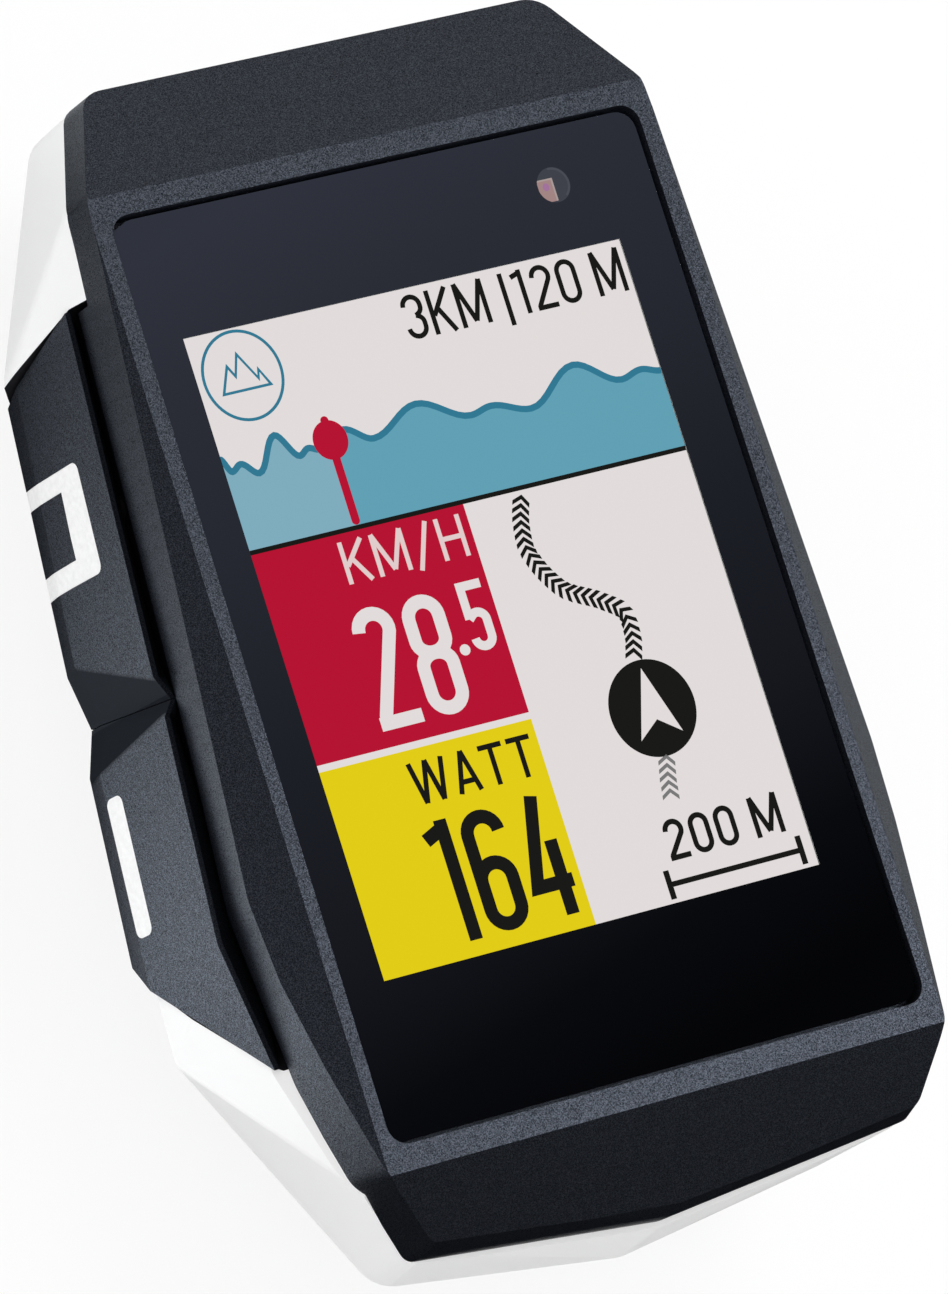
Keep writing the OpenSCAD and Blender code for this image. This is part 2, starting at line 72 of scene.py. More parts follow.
# ---------------------------------------------------------------- node material helper
class Mat:
    """Thin wrapper round a node material: add() makes a node, put() sets or links one of its inputs."""

    def __init__(self, name, world=False):
        self.m = (bpy.data.worlds if world else bpy.data.materials).new(name)
        self.m.use_nodes = True
        self.t = self.m.node_tree
        self.t.nodes.clear()
        self.out = self.add("ShaderNodeOutputWorld" if world else "ShaderNodeOutputMaterial")

    def add(self, kind, inputs=None, **props):
        node = self.t.nodes.new(kind)
        for key, value in props.items():
            setattr(node, key, value)
        for key, value in (inputs or {}).items():
            self.put(node.inputs[key], value)
        return node

    def put(self, socket, value):
        if isinstance(value, bpy.types.NodeSocket):
            self.t.links.new(value, socket)
        else:
            socket.default_value = value

    def coords(self):
        """Place on the object, which is the place in the CAD frame at rest."""
        return self.add("ShaderNodeTexCoord").outputs["Object"]

    def axes(self, vector=None):
        """X, Y and Z of a vector, or of the place on the object."""
        return self.add("ShaderNodeSeparateXYZ", {"Vector": vector or self.coords()}).outputs

    def lean(self):
        """X, Y and Z of the direction a face looks in."""
        return self.axes(self.add("ShaderNodeNewGeometry").outputs["True Normal"])

    def noise(self, scale, detail=2.0, rough=0.5, vector=None):
        node = self.add("ShaderNodeTexNoise", {"Scale": scale, "Detail": detail, "Roughness": rough})
        self.put(node.inputs["Vector"], vector or self.coords())
        return node.outputs["Fac"]

    def cells(self, scale):
        node = self.add("ShaderNodeTexVoronoi", {"Scale": scale})
        self.put(node.inputs["Vector"], self.coords())
        return node

    def math(self, op, a, b=0.0, clamp=False):
        node = self.add("ShaderNodeMath", operation=op, use_clamp=clamp)
        self.put(node.inputs[0], a)
        self.put(node.inputs[1], b)
        return node.outputs[0]

    def span(self, value, low, high, out_low=0.0, out_high=1.0):
        """Straight ramp between two values, clamped at both ends."""
        return self.add("ShaderNodeMapRange", {"Value": value, "From Min": low, "From Max": high,
                                               "To Min": out_low, "To Max": out_high}).outputs[0]

    def ramp(self, fac, stops):
        node = self.add("ShaderNodeValToRGB", {"Fac": fac})
        while len(node.color_ramp.elements) < len(stops):
            node.color_ramp.elements.new(0.5)
        for element, (place, colour) in zip(node.color_ramp.elements, stops):
            element.position = place
            element.color = (*colour, 1)
        return node.outputs["Color"]

    def mix(self, fac, a, b):
        node = self.add("ShaderNodeMix", data_type="RGBA")
        self.put(node.inputs[0], fac)
        self.put(node.inputs[6], a if isinstance(a, bpy.types.NodeSocket) else (*a, 1))
        self.put(node.inputs[7], b if isinstance(b, bpy.types.NodeSocket) else (*b, 1))
        return node.outputs[2]

    def bump(self, height, strength, distance):
        return self.add("ShaderNodeBump", {"Height": height, "Strength": strength,
                                           "Distance": distance}).outputs["Normal"]

    def surface(self, **inputs):
        names = {"colour": "Base Color", "rough": "Roughness", "metal": "Metallic", "normal": "Normal",
                 "spec": "Specular IOR Level", "tint": "Specular Tint", "coat": "Coat Weight",
                 "coat_rough": "Coat Roughness", "transmission": "Transmission Weight"}
        node = self.add("ShaderNodeBsdfPrincipled")
        for key, value in inputs.items():
            socket = node.inputs[names[key]]
            if isinstance(value, tuple) and len(value) == 3:
                value = (*value, 1)
            self.put(socket, value)
        return node.outputs["BSDF"]

    def glow(self, colour, strength=1.0):
        return self.add("ShaderNodeEmission", {"Color": colour, "Strength": strength}).outputs[0]

    def blend(self, share, a, b):
        """One shader, crossing over to another as share goes from 0 to 1."""
        return self.add("ShaderNodeMixShader", {0: share, 1: a, 2: b}).outputs[0]

    def finish(self, shader):
        self.put(self.out.inputs["Surface"], shader)
        return self.m


# ---------------------------------------------------------------- materials
def shade(colour, factor):
    return tuple(min(1, c * factor) for c in colour)


def key_valley_shade(m):
    """Masks of the painted shade on the two smooth faces that meet between the keys of each side, above and
    below the parting.
    """
    valley_top_y, top_slope = 2.3 * MM, 0.371
    valley_foot_y, foot_slope = 0.1 * MM, 0.2
    fade = 0.25 * MM
    at = m.axes()
    side = m.math("GREATER_THAN", m.math("ABSOLUTE", m.lean()[0]), 0.6)
    drop = m.math("SUBTRACT", KEY_TOP_Z, at[2])
    high = m.math("SUBTRACT", m.math("ADD", valley_top_y, m.math("MULTIPLY", drop, top_slope)), at[1])
    low = m.math("SUBTRACT", at[1], m.math("SUBTRACT", valley_foot_y, m.math("MULTIPLY", drop, foot_slope)))
    inside = m.math("MULTIPLY", m.span(high, 0, fade), m.span(low, 0, fade))
    upper = m.math("GREATER_THAN", at[1], KEY_PARTING_Y)
    return m.math("MULTIPLY", side, inside), upper


def speckled_plastic(name, paint_valley_shade=False):
    """Moulded dark plastic: fine grain that catches the light unevenly."""
    m = Mat(name)
    fine = m.noise(15500, 3.0, 0.75)
    cell = m.cells(14500)
    pick = m.add("ShaderNodeSeparateColor", {"Color": cell.outputs["Color"]}).outputs[0]
    flecks = m.math("MULTIPLY", m.math("GREATER_THAN", pick, 0.77),
                    m.math("LESS_THAN", cell.outputs["Distance"], 0.55))
    swing = m.math("MULTIPLY", m.math("SUBTRACT", fine, 0.5), 3.6)
    shine = m.math("ADD", 0.42, m.math("ADD", swing, m.math("MULTIPLY", flecks, 0.9)), clamp=True)
    tone = m.mix(fine, shade(BODY, 0.7), shade(BODY, 1.3))
    # painted shade: the bevel that faces the rider is painted darker, as it catches less of the room
    lean = m.lean()
    rider_bevel_shade = m.math("MULTIPLY", m.math("LESS_THAN", lean[1], -0.3), m.math("GREATER_THAN", lean[2], 0.5))
    tone = m.mix(rider_bevel_shade, tone, shade(BODY, 0.62))
    if paint_valley_shade:
        # painted shade: the two faces of the notch between the keys are painted dark, the lower one darker,
        # and lose their shine
        valley_shade, upper = key_valley_shade(m)
        tone = m.mix(valley_shade, tone, m.mix(upper, (0.014, 0.0165, 0.021), (0.023, 0.027, 0.033)))
        shine = m.math("MULTIPLY", shine, m.math("SUBTRACT", 1.0, valley_shade))
    return m.finish(m.surface(colour=tone, rough=0.43, normal=m.bump(fine, 0.3, 0.00005), spec=shine,
                              tint=(0.7, 0.8, 1.0)))


def satin_shell(name, base):
    """White shell; the end faces of the key pockets, which only show as gaps, are painted dark as shade."""
    m = Mat(name)
    fine = m.noise(5200, 2.0, 0.6)
    cloud = m.noise(90, 2.0)
    tone = m.mix(m.math("MULTIPLY", cloud, 0.5), base, shade(base, 0.97))
    # painted shade on the end faces of the key pockets
    pocket_end_shade = m.math("MULTIPLY", m.math("GREATER_THAN", m.math("ABSOLUTE", m.lean()[1]), 0.5),
                        m.math("LESS_THAN", m.math("ABSOLUTE", m.axes()[1]), 23 * MM))
    tone = m.mix(pocket_end_shade, tone, (0.01, 0.01, 0.012))
    rough = m.math("ADD", 0.36, m.math("MULTIPLY", fine, 0.12))
    return m.finish(m.surface(colour=tone, rough=rough, normal=m.bump(fine, 0.12, 0.00004), spec=0.45,
                              coat=0.08, coat_rough=0.3))


def rubber(name, base, rough=0.75):
    """Soft matt rubber or foam with a fine tooth."""
    m = Mat(name)
    fine = m.noise(4200, 3.0, 0.65)
    tone = m.mix(fine, shade(base, 0.8), shade(base, 1.35))
    return m.finish(m.surface(colour=tone, rough=rough, normal=m.bump(fine, 0.3, 0.00005), spec=0.3))


def metal(name, base, rough=0.32, lay=1.0):
    """Sheet or turned metal with fine brushed streaks."""
    m = Mat(name)
    stretch = m.add("ShaderNodeMapping", {"Vector": m.coords(), "Scale": (1, 14 * lay, 1)})
    streak = m.noise(1500, 3.0, 0.6, stretch.outputs["Vector"])
    tone = m.mix(streak, shade(base, 0.82), shade(base, 1.1))
    roughness = m.math("ADD", rough, m.math("MULTIPLY", streak, 0.16))
    return m.finish(m.surface(colour=tone, metal=1.0, rough=roughness, normal=m.bump(streak, 0.08, 0.00003)))


def plain_moulding(name, base, rough=0.5, detail_scale=3000):
    """Moulded plastic or ceramic with a light grain."""
    m = Mat(name)
    fine = m.noise(detail_scale, 3.0, 0.6)
    tone = m.mix(fine, shade(base, 0.88), shade(base, 1.12))
    return m.finish(m.surface(colour=tone, rough=rough, normal=m.bump(fine, 0.15, 0.00004), spec=0.4))


def circuit_board(name):
    """Green lacquer over a grid of tracks."""
    m = Mat(name)
    tracks = m.add("ShaderNodeTexBrick", {
        "Vector": m.coords(), "Scale": 420.0, "Mortar Size": 0.06, "Mortar": (0.03, 0.24, 0.12, 1),
        "Color1": (0.008, 0.11, 0.05, 1), "Color2": (0.01, 0.14, 0.065, 1)})
    fine = m.noise(2500, 2.0)
    tone = m.mix(m.math("MULTIPLY", fine, 0.3), tracks.outputs["Color"], (0.01, 0.2, 0.09))
    return m.finish(m.surface(colour=tone, rough=0.35, normal=m.bump(tracks.outputs["Fac"], 0.3, 0.00004),
                              spec=0.5))


def screen_ink(name, colour):
    """Lit pixels: their own light, with a faint dot pattern. The light sensor's sheets use it too, so they
    glow though they are no lamp.
    """
    m = Mat(name)
    dots = m.noise(6500, 1.0, 0.4)
    return m.finish(m.glow(m.mix(m.math("MULTIPLY", dots, 0.1), colour, shade(colour, 0.9))))


def border_print_painted_reflection(name):
    """Black print behind the glass, glowing with a painted reflection that falls off from the top left to the
    bottom right.
    """
    m = Mat(name)
    at = m.axes()
    along = m.math("SUBTRACT", at[1], m.math("MULTIPLY", at[0], 0.3))
    place = m.math("ADD", m.span(along, -26 * MM, 28 * MM), m.math("MULTIPLY", m.noise(300, 2.0), 0.004))
    levels = [(0.0, 0.0016), (0.13, 0.0035), (0.287, 0.010), (0.491, 0.0155), (0.657, 0.0225),
              (0.863, 0.0295), (1.0, 0.0365)]
    painted_reflection_tint = (0.81, 0.91, 1.28)
    return m.finish(m.glow(m.ramp(place, [(stop, shade(painted_reflection_tint, level)) for stop, level in levels])))


def cover_glass(name):
    """Clear sheet that mirrors the room only at a low angle."""
    m = Mat(name)
    see_through = m.add("ShaderNodeBsdfTransparent", {"Color": (1, 1, 1, 1)}).outputs[0]
    smear = m.math("ADD", 0.04, m.math("MULTIPLY", m.noise(400, 2.0), 0.03))
    shine = m.add("ShaderNodeBsdfGlossy", {"Color": (1, 1, 1, 1), "Roughness": smear}).outputs[0]
    grazing = m.math("SUBTRACT", m.add("ShaderNodeFresnel", {"IOR": 1.45}).outputs[0], 0.036, clamp=True)
    outside = m.math("SUBTRACT", 1.0, m.add("ShaderNodeNewGeometry").outputs["Backfacing"])
    amount = m.math("MULTIPLY", m.math("MULTIPLY", grazing, 0.8), outside)
    return m.finish(m.blend(amount, see_through, shine))


def clear_plastic(name, tint):
    """Clear moulding with a slight haze."""
    m = Mat(name)
    haze = m.noise(1800, 2.0)
    return m.finish(m.surface(colour=tint, rough=m.math("MULTIPLY", haze, 0.2), transmission=0.85, spec=0.5))


BODY = (0.0065, 0.0075, 0.0105)
LOOKS = {
    "body": speckled_plastic("body_speckled_plastic"),
    "key": speckled_plastic("key_speckled_plastic", True),
    "white": satin_shell("shell_satin_white", (0.89, 0.89, 0.89)),
    "mark": plain_moulding("mark_white", (0.88, 0.88, 0.88), 0.45),
    "rubber": rubber("black_rubber", (0.012, 0.012, 0.014)),
    "seal": rubber("seal_silicone", (0.42, 0.12, 0.03), 0.5),
    "foam": rubber("pad_foam", (0.03, 0.03, 0.032), 0.9),
    "glass": cover_glass("cover_glass"),
    "steel": metal("stamped_steel", (0.62, 0.62, 0.64)),
    "screw": metal("screw_steel", (0.34, 0.34, 0.36), 0.26),
    "pouch": metal("battery_pouch", (0.52, 0.54, 0.57), 0.42, 0.4),
    "board": circuit_board("circuit_board"),
    "film": plain_moulding("flex_film", (0.5, 0.25, 0.05), 0.35),
    "nylon": plain_moulding("black_nylon", (0.022, 0.022, 0.024), 0.42),
    "mount": plain_moulding("mount_black_plastic", (0.028, 0.029, 0.032), 0.46, 2200),
    "ceramic": plain_moulding("antenna_ceramic", (0.66, 0.58, 0.46), 0.6),
    "diffuser": plain_moulding("light_guide_white", (0.84, 0.85, 0.87), 0.4),
    "cell": plain_moulding("display_cell", (0.55, 0.57, 0.55), 0.3),
    "switch": plain_moulding("switch_ivory", (0.72, 0.71, 0.66), 0.45),
    "wire": plain_moulding("wire_red", (0.45, 0.03, 0.03), 0.4),
    "membrane": plain_moulding("vent_membrane", (0.82, 0.81, 0.77), 0.8),
    "chip": plain_moulding("sensor_package", (0.28, 0.2, 0.33), 0.25),
    "pipe": clear_plastic("light_pipe_clear", (0.9, 0.91, 0.95)),
}
NODE_LOOK = {
    "front_cover": "body", "cover_lens": "glass", "lens_gasket": "rubber", "display_panel": "cell",
    "backlight_unit": "diffuser", "display_tray": "steel", "display_flex": "film", "flex_connector": "nylon",
    "light_pipe": "pipe", "light_sensor": "chip", "main_board": "board", "shield_cans": "steel",
    "gps_antenna": "ceramic", "pressure_sensor": "steel", "buzzer": "nylon", "battery": "pouch",
    "battery_pad": "foam", "battery_lead": "wire", "usb_connector": "steel", "usb_cover": "rubber",
    "housing_seal": "seal", "back_cover": "white", "vent_membrane": "membrane", "case_screws": "screw",
    "mount_puck": "mount", "mount_screws": "screw", "side_switches": "switch",
    "left_key_seal": "rubber", "right_key_seal": "rubber",
}
for side in ("left", "right"):
    for place in ("upper", "lower"):
        NODE_LOOK[f"{side}_{place}_key"] = "key"
        NODE_LOOK[f"{side}_{place}_mark"] = "mark"
        NODE_LOOK[f"{side}_{place}_plunger"] = "nylon"

# width of the rounding along the edges of each carried-over CAD node
EDGE_MM = {"front_cover": 0.22, "back_cover": 0.25, "cover_lens": 0.12, "mount_puck": 0.25, "usb_cover": 0.2}
KEY_EDGE_MM = 0.16
SMALL_EDGE_MM = 0.05


def dress(node, look, edge_mm):
    """Gives a CAD node its material and rounded edges, without touching its mesh."""
    obj = NODES[node]
    obj.data.materials.clear()
    obj.data.materials.append(LOOKS[look])
    for poly in obj.data.polygons:
        poly.use_smooth = True
        poly.material_index = 0
    weld = obj.modifiers.new("weld", "WELD")
    weld.merge_threshold = 0.002 * MM
    planar = obj.modifiers.new("planar", "DECIMATE")
    planar.decimate_type = "DISSOLVE"
    planar.angle_limit = math.radians(0.6)
    bevel = obj.modifiers.new("edges", "BEVEL")
    bevel.width = edge_mm * MM
    bevel.segments = 3
    bevel.limit_method = "ANGLE"
    bevel.angle_limit = math.radians(24)
    bevel.use_clamp_overlap = True
    weighted = obj.modifiers.new("normals", "WEIGHTED_NORMAL")
    weighted.keep_sharp = False


for node_name, look_name in NODE_LOOK.items():
    dress(node_name, look_name, EDGE_MM.get(node_name, KEY_EDGE_MM if look_name == "key" else SMALL_EDGE_MM))


# ---------------------------------------------------------------- flat shapes on the screen
LAYER_MM = 0.015
SHEET_MM = 0.009
FIRST_GAP_MM = 0.004
INK = {
    "paper": screen_ink("screen_paper", (0.76, 0.72, 0.715)),
    "black": screen_ink("screen_black", (0.0103, 0.0103, 0.0095)),
    "teal": screen_ink("screen_teal", (0.033, 0.19, 0.29)),
    "water": screen_ink("screen_water", (0.122, 0.356, 0.462)),
    "water_pale": screen_ink("screen_water_pale", (0.216, 0.418, 0.515)),
    "red": screen_ink("screen_red", (0.462, 0.0075, 0.032)),
    "yellow": screen_ink("screen_yellow", (0.76, 0.61, 0.0092)),
    "pink": screen_ink("screen_pink", (0.76, 0.61, 0.61)),
    # the light sensor's sheets glow though they are no lamp; its rim arc and die edge strips are painted
    # highlights
    "eye": screen_ink("sensor_window", (0.05, 0.055, 0.07)),
    "eye_rim_highlight": screen_ink("sensor_window_rim_highlight", (0.068, 0.073, 0.09)),
    "die": screen_ink("sensor_die", (0.36, 0.235, 0.23)),
    "die_core": screen_ink("sensor_die_core", (0.36, 0.17, 0.33)),
    "die_edge_highlight": screen_ink("sensor_die_edge_highlight", (0.40, 0.33, 0.32)),
    "grey": screen_ink("screen_grey", (0.19, 0.19, 0.19)),
}


def placed(name, bm, material):
    """The finished mesh as an object of the scene."""
    mesh = bpy.data.meshes.new(name)
    bm.to_mesh(mesh)
    bm.free()
    mesh.materials.append(material)
    obj = bpy.data.objects.new(name, mesh)
    bpy.context.scene.collection.objects.link(obj)
    return obj


def sheet(name, loops, layer, ink):
    """Thin plates from closed outlines in screen millimetres, standing on a layer above the display cell."""
    bm = bmesh.new()
    low = SCREEN_CENTRE.z + (FIRST_GAP_MM + layer * LAYER_MM) * MM
    high = low + SHEET_MM * MM
    for loop in loops:
        ring = [SCREEN_CENTRE + Vector((x * MM, y * MM, 0)) for x, y in loop]
        bottom = [bm.verts.new((p.x, p.y, low)) for p in ring]
        top = [bm.verts.new((p.x, p.y, high)) for p in ring]
        bm.faces.new(top)
        bm.faces.new(list(reversed(bottom)))
        for i in range(len(ring)):
            j = (i + 1) % len(ring)
            bm.faces.new((bottom[i], bottom[j], top[j], top[i]))
    bmesh.ops.recalc_face_normals(bm, faces=bm.faces)
    bmesh.ops.triangulate(bm, faces=bm.faces)
    obj = placed(name, bm, INK[ink])
    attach(obj, "housing")


def rect(x0, x1, y0, y1):
    return [(x0, y0), (x1, y0), (x1, y1), (x0, y1)]


def arc(cx, cy, rx, ry, start, end, steps=14):
    """Points along an elliptical arc, angles in degrees."""
    turns = [math.radians(start + (end - start) * i / steps) for i in range(steps + 1)]
    return [(cx + rx * math.cos(a), cy + ry * math.sin(a)) for a in turns]


def oval(cx, cy, rx, ry, steps=64):
    return arc(cx, cy, rx, ry, 0, 360, steps)[:-1]


def ribbon(points, width, closed=False):
    """Outline loops of a stroke: one loop for an open line, quads for a closed one."""
    points = [p for i, p in enumerate(points) if i == 0 or math.dist(p, points[i - 1]) > 0.01]
    if closed and math.dist(points[0], points[-1]) < 0.01:
        points.pop()
    count = len(points)
    pairs = []
    for i, p in enumerate(points):
        before = points[i - 1] if (closed or i > 0) else None
        after = points[(i + 1) % count] if (closed or i < count - 1) else None
        normals = []
        for a, b in ((before, p), (p, after)):
            if a is None or b is None:
                continue
            d = Vector((b[0] - a[0], b[1] - a[1]))
            if d.length > 1e-9:
                d.normalize()
                normals.append(Vector((-d.y, d.x)))
        n = sum(normals, Vector((0, 0)))
        n.normalize()
        stretch = 1 / max(0.45, n.dot(normals[0]))
        off = n * (width / 2 * stretch)
        pairs.append(((p[0] + off.x, p[1] + off.y), (p[0] - off.x, p[1] - off.y)))
    if not closed:
        return [[a for a, _ in pairs] + [b for _, b in reversed(pairs)]]
    return [[a, c, d, b] for (a, b), (c, d) in zip(pairs, pairs[1:] + pairs[:1])]


def glyph(char, w, h, s):
    """Strokes of one character, each as (points, closed), for its width, height and stroke width."""
    x0, x1, y0, y1 = s / 2, w - s / 2, s / 2, h - s / 2
    xc, r = w / 2, (w - s) / 2
    ym = h * 0.52
    if char == "0":
        return [(arc(xc, y1 - r, r, r, 0, 180) + arc(xc, y0 + r, r, r, 180, 360), True)]
    if char == "1":
        stem = w * 0.72
        return [([(stem, 0), (stem, h)], False), ([(stem, h - s * 0.62), (w * 0.12, h - s * 1.25)], False)]
    if char == "2":
        return [(arc(xc, y1 - r, r, r, 180, -28) + [(x0 + s * 0.1, s), (x0 + s * 0.1, y0)], False),
                ([(0, y0), (w, y0)], False)]
    if char == "3":
        upper = arc(xc, y1 - r, r, r, 180, 0) + arc(xc, ym + r * 0.9, r, r * 0.9, 0, -80)
        lower = arc(xc, ym - r * 0.9, r, r * 0.9, 80, 0) + arc(xc, y0 + r, r, r, 0, -180)
        return [([(x0, y1 - r)] + upper, False), (lower, False)]
    if char == "4":
        bar = h * 0.27
        return [([(w, bar), (s * 0.55, bar), (w * 0.62, h)], False),
                ([(w * 0.76, 0), (w * 0.76, h * 0.62)], False)]
    if char == "5":
        return [([(w, y1), (x0, y1), (x0, ym - r * 0.4)], False),
                ([(x0, ym - r * 0.4)] + arc(xc, ym - r * 0.75, r, r * 0.95, 112, 0)
                 + arc(xc, y0 + r, r, r, 0, -180), False)]
    if char == "6":
        loop_top = h * 0.56
        return [(arc(xc, y1 - r, r, r, 0, 180) + [(x0, y0 + r)], False),
                (arc(xc, loop_top - r, r, r, 0, 180) + arc(xc, y0 + r, r, r, 180, 360), True)]
    if char == "8":
        return [(arc(xc, y1 - r, r, r, 0, 180) + arc(xc, ym + r * 0.85, r, r * 0.85, 180, 360), True),
                (arc(xc, ym - r * 0.85, r, r * 0.85, 0, 180) + arc(xc, y0 + r, r, r, 180, 360), True)]
    if char == "K":
        return [([(x0, 0), (x0, h)], False), ([(x1, h), (x0 + s * 0.4, h * 0.42)], False),
                ([(w * 0.36, h * 0.6), (x1 + s * 0.1, 0)], False)]
    if char == "M":
        return [([(x0, 0), (x0, h)], False), ([(x1, 0), (x1, h)], False),
                ([(x0, h), (xc, h * 0.1)], False), ([(x1, h), (xc, h * 0.1)], False)]
    if char == "H":
        return [([(x0, 0), (x0, h)], False), ([(x1, 0), (x1, h)], False), ([(x0, h / 2), (x1, h / 2)], False)]
    if char == "W":
        low = (w * 0.27, 0), (w * 0.73, 0)
        return [([(x0, h), low[0]], False), ([low[0], (xc, h)], False), ([(xc, h), low[1]], False),
                ([low[1], (x1, h)], False)]
    if char == "A":
        bar = h * 0.27
        return [([(x0, 0), (xc, h)], False), ([(x1, 0), (xc, h)], False),
                ([(w * 0.2, bar), (w * 0.8, bar)], False)]
    if char == "T":
        return [([(xc, 0), (xc, h)], False), ([(0, y1), (w, y1)], False)]
    if char == "/":
        return [([(x0, -h * 0.08), (x1, h * 1.02)], False)]
    if char == "|":
        return [([(xc, -h * 0.18), (xc, h)], False)]
    return []


# width of a character against a digit's
NARROW = {"1": 0.72, "|": 0.3, " ": 0.3, "M": 1.42, "W": 1.5, "/": 0.9, "H": 1.12, "K": 1.1, "T": 0.95}


def writing(name, text, right, base, height, width, stroke, gap, ink, layer=2):
    """A line of stroke glyphs that ends at x = right, as one piece."""
    loops = []
    total = sum(width * NARROW.get(c, 1) for c in text) + gap * (len(text) - 1)
    x = right - total
    for char in text:
        w = width * NARROW.get(char, 1)
        for points, closed in glyph(char, w, height, stroke):
            loops += ribbon([(x + px, base + py) for px, py in points], stroke, closed)
        x += w + gap
    sheet(name, loops, layer, ink)


def eased(nodes, steps):
    """Curve through peaks and dips, flat at each."""
    out = []
    for (xa, ya), (xb, yb) in zip(nodes, nodes[1:]):
        for i in range(steps):
            t = i / steps
            out.append((xa + (xb - xa) * t, ya + (yb - ya) * (0.5 - 0.5 * math.cos(math.pi * t))))
    return out + [nodes[-1]]


def smooth_path(nodes, steps):
    """Catmull-Rom curve through the nodes."""
    out = []
    ends = [nodes[0]] + nodes + [nodes[-1]]
    for i in range(1, len(ends) - 2):
        a, b, c, d = (Vector(ends[i + k]) for k in (-1, 0, 1, 2))
        for k in range(steps):
            t = k / steps
            square = (2 * a - 5 * b + 4 * c - d) * t * t
            cube = (3 * b - a - 3 * c + d) * t ** 3
            p = 0.5 * (2 * b + (c - a) * t + square + cube)
            out.append((p.x, p.y))
    return out + [tuple(nodes[-1])]


def chevrons(name, path, pitch, half_w, thick, ink, layer=2):
    """Arrow heads that point along a path at an even pitch."""
    reach, sweep = 0.18, 0.22
    loops = []
    run = 0.0
    due = pitch / 2
    for a, b in zip(path, path[1:]):
        va, vb = Vector(a), Vector(b)
        seg = (vb - va).length
        while run + seg >= due:
            p = va + (vb - va) * ((due - run) / seg)
            d = (vb - va).normalized()
            n = Vector((-d.y, d.x))
            front = [p - d * sweep + n * half_w, p + d * reach, p - d * sweep - n * half_w]
            loops.append([tuple(v) for v in front + [v - d * thick for v in reversed(front)]])
            due += pitch
        run += seg
    sheet(name, loops, layer, ink)


def screen_picture():
    """Climb profile across the top, speed and power fields at the left, map at the right."""
    half_w, half_h = SCREEN_W_MM / 2, SCREEN_H_MM / 2
    split_x, field_split = -0.48, -6.0
    line_y, line_t = 6.05, 0.26
    sheet("screen_ground", [rect(-half_w, half_w, -half_h, half_h)], 0, "paper")
    profile = eased([(-half_w, 11.2), (-13, 10.4), (-12.4, 10.7), (-11.5, 10.0), (-10, 11.8), (-8.9, 10.4),
                     (-8.3, 10.7), (-7.7, 10.5), (-6, 11.25), (-4.4, 10.4), (-1.4, 11.7), (1.6, 10.4),
                     (2.9, 10.65), (5.2, 10.0), (8.4, 11.8), (11, 10.4), (12.3, 10.7), (half_w, 10.4)], 8)
    pin_x = -6.9
    passed = [p for p in profile if p[0] <= pin_x]
    ahead = [p for p in profile if p[0] > pin_x]
    level = passed[-1][1]
    sheet("profile_passed", [passed + [(pin_x, level), (pin_x, line_y), (-half_w, line_y)]], 1, "water_pale")
    sheet("profile_ahead", [[(pin_x, level)] + ahead + [(half_w, line_y), (pin_x, line_y)]], 1, "water")
    sheet("profile_line", ribbon(profile, 0.36), 2, "teal")
    sheet("divider_line", [rect(-half_w, half_w, line_y - line_t, line_y)], 1, "black")
    sheet("speed_field", [rect(-half_w, split_x, field_split, line_y - line_t)], 1, "red")
    sheet("power_field", [rect(-half_w, split_x, -half_h, field_split - 0.38)], 1, "yellow")
    # route pin
    pin_r, pin_foot = 0.24, 6.3
    stem = rect(pin_x - pin_r, pin_x + pin_r, pin_foot, 10.0)
    sheet("route_pin", [oval(pin_x, 10.85, 1.03, 1.1), stem], 3, "red")
    sheet("route_pin_ends", [oval(pin_x, y, pin_r, pin_r, 20) for y in (11.95, pin_foot)], 3, "red")
    # climb badge
    badge = (-10.7, 15.35)
    sheet("badge_ring", ribbon(oval(*badge, 2.3, 2.46), 0.17, True), 1, "teal")
    hills = [(-1.4, -0.8), (-0.75, 0.65), (-0.42, 0.02), (0, 1.2), (0.85, -0.35), (0.98, 0.15), (1.45, -0.8)]
    sheet("badge_hills", ribbon([(badge[0] + x, badge[1] + y) for x, y in hills], 0.15, True), 1, "teal")
    # readings
    writing("distance_text", "3KM |120 M", 13.15, 15.1, 2.5, 1.28, 0.28, 0.3, "black")
    writing("speed_unit", "KM/H", -0.95, 3.0, 2.35, 1.4, 0.27, 0.36, "pink")
    writing("speed_value", "28", -3.5, -5.1, 6.7, 2.55, 0.76, 0.5, "paper")
    writing("speed_tenths", "5", -0.95, -2.2, 3.9, 1.5, 0.5, 0.2, "paper")
    sheet("speed_point", [oval(-3.0, -1.9, 0.31, 0.31, 24)], 2, "paper")
    writing("power_unit", "WATT", -0.95, -9.4, 2.3, 1.5, 0.29, 0.3, "black")
    writing("power_value", "164", -0.95, -17.1, 6.7, 2.6, 0.76, 0.42, "black")
    # map
    route = smooth_path([(6.6, -4.4), (6.9, -3.2), (6.75, -1.95), (5.6, -1.05), (3.6, 0.15), (2.45, 2.2),
                         (2.5, 4.0), (3.1, 5.7)], 10)
    chevrons("route_ahead", route, 0.47, 0.5, 0.27, "black")
    chevrons("route_passed", [(6.15, -12.3), (6.3, -11.4), (6.6, -10.2)], 0.47, 0.5, 0.24, "grey")
    sheet("place_disc", [oval(6.7, -7.45, 2.6, 2.72)], 2, "black")
    sheet("place_arrow", [[(6.75, -5.2), (5.45, -9.05), (6.75, -8.1), (8.05, -9.05)]], 3, "paper")
    writing("scale_text", "200 M", 12.2, -15.75, 2.25, 1.25, 0.3, 0.32, "black")
    ends = [rect(x, x + 0.34, y, y + 0.65) for x in (4.3, 12.56) for y in (-17.75, -16.8)]
    sheet("scale_bar", [rect(4.3, 12.9, -17.1, -16.8)] + ends, 1, "black")


screen_picture()


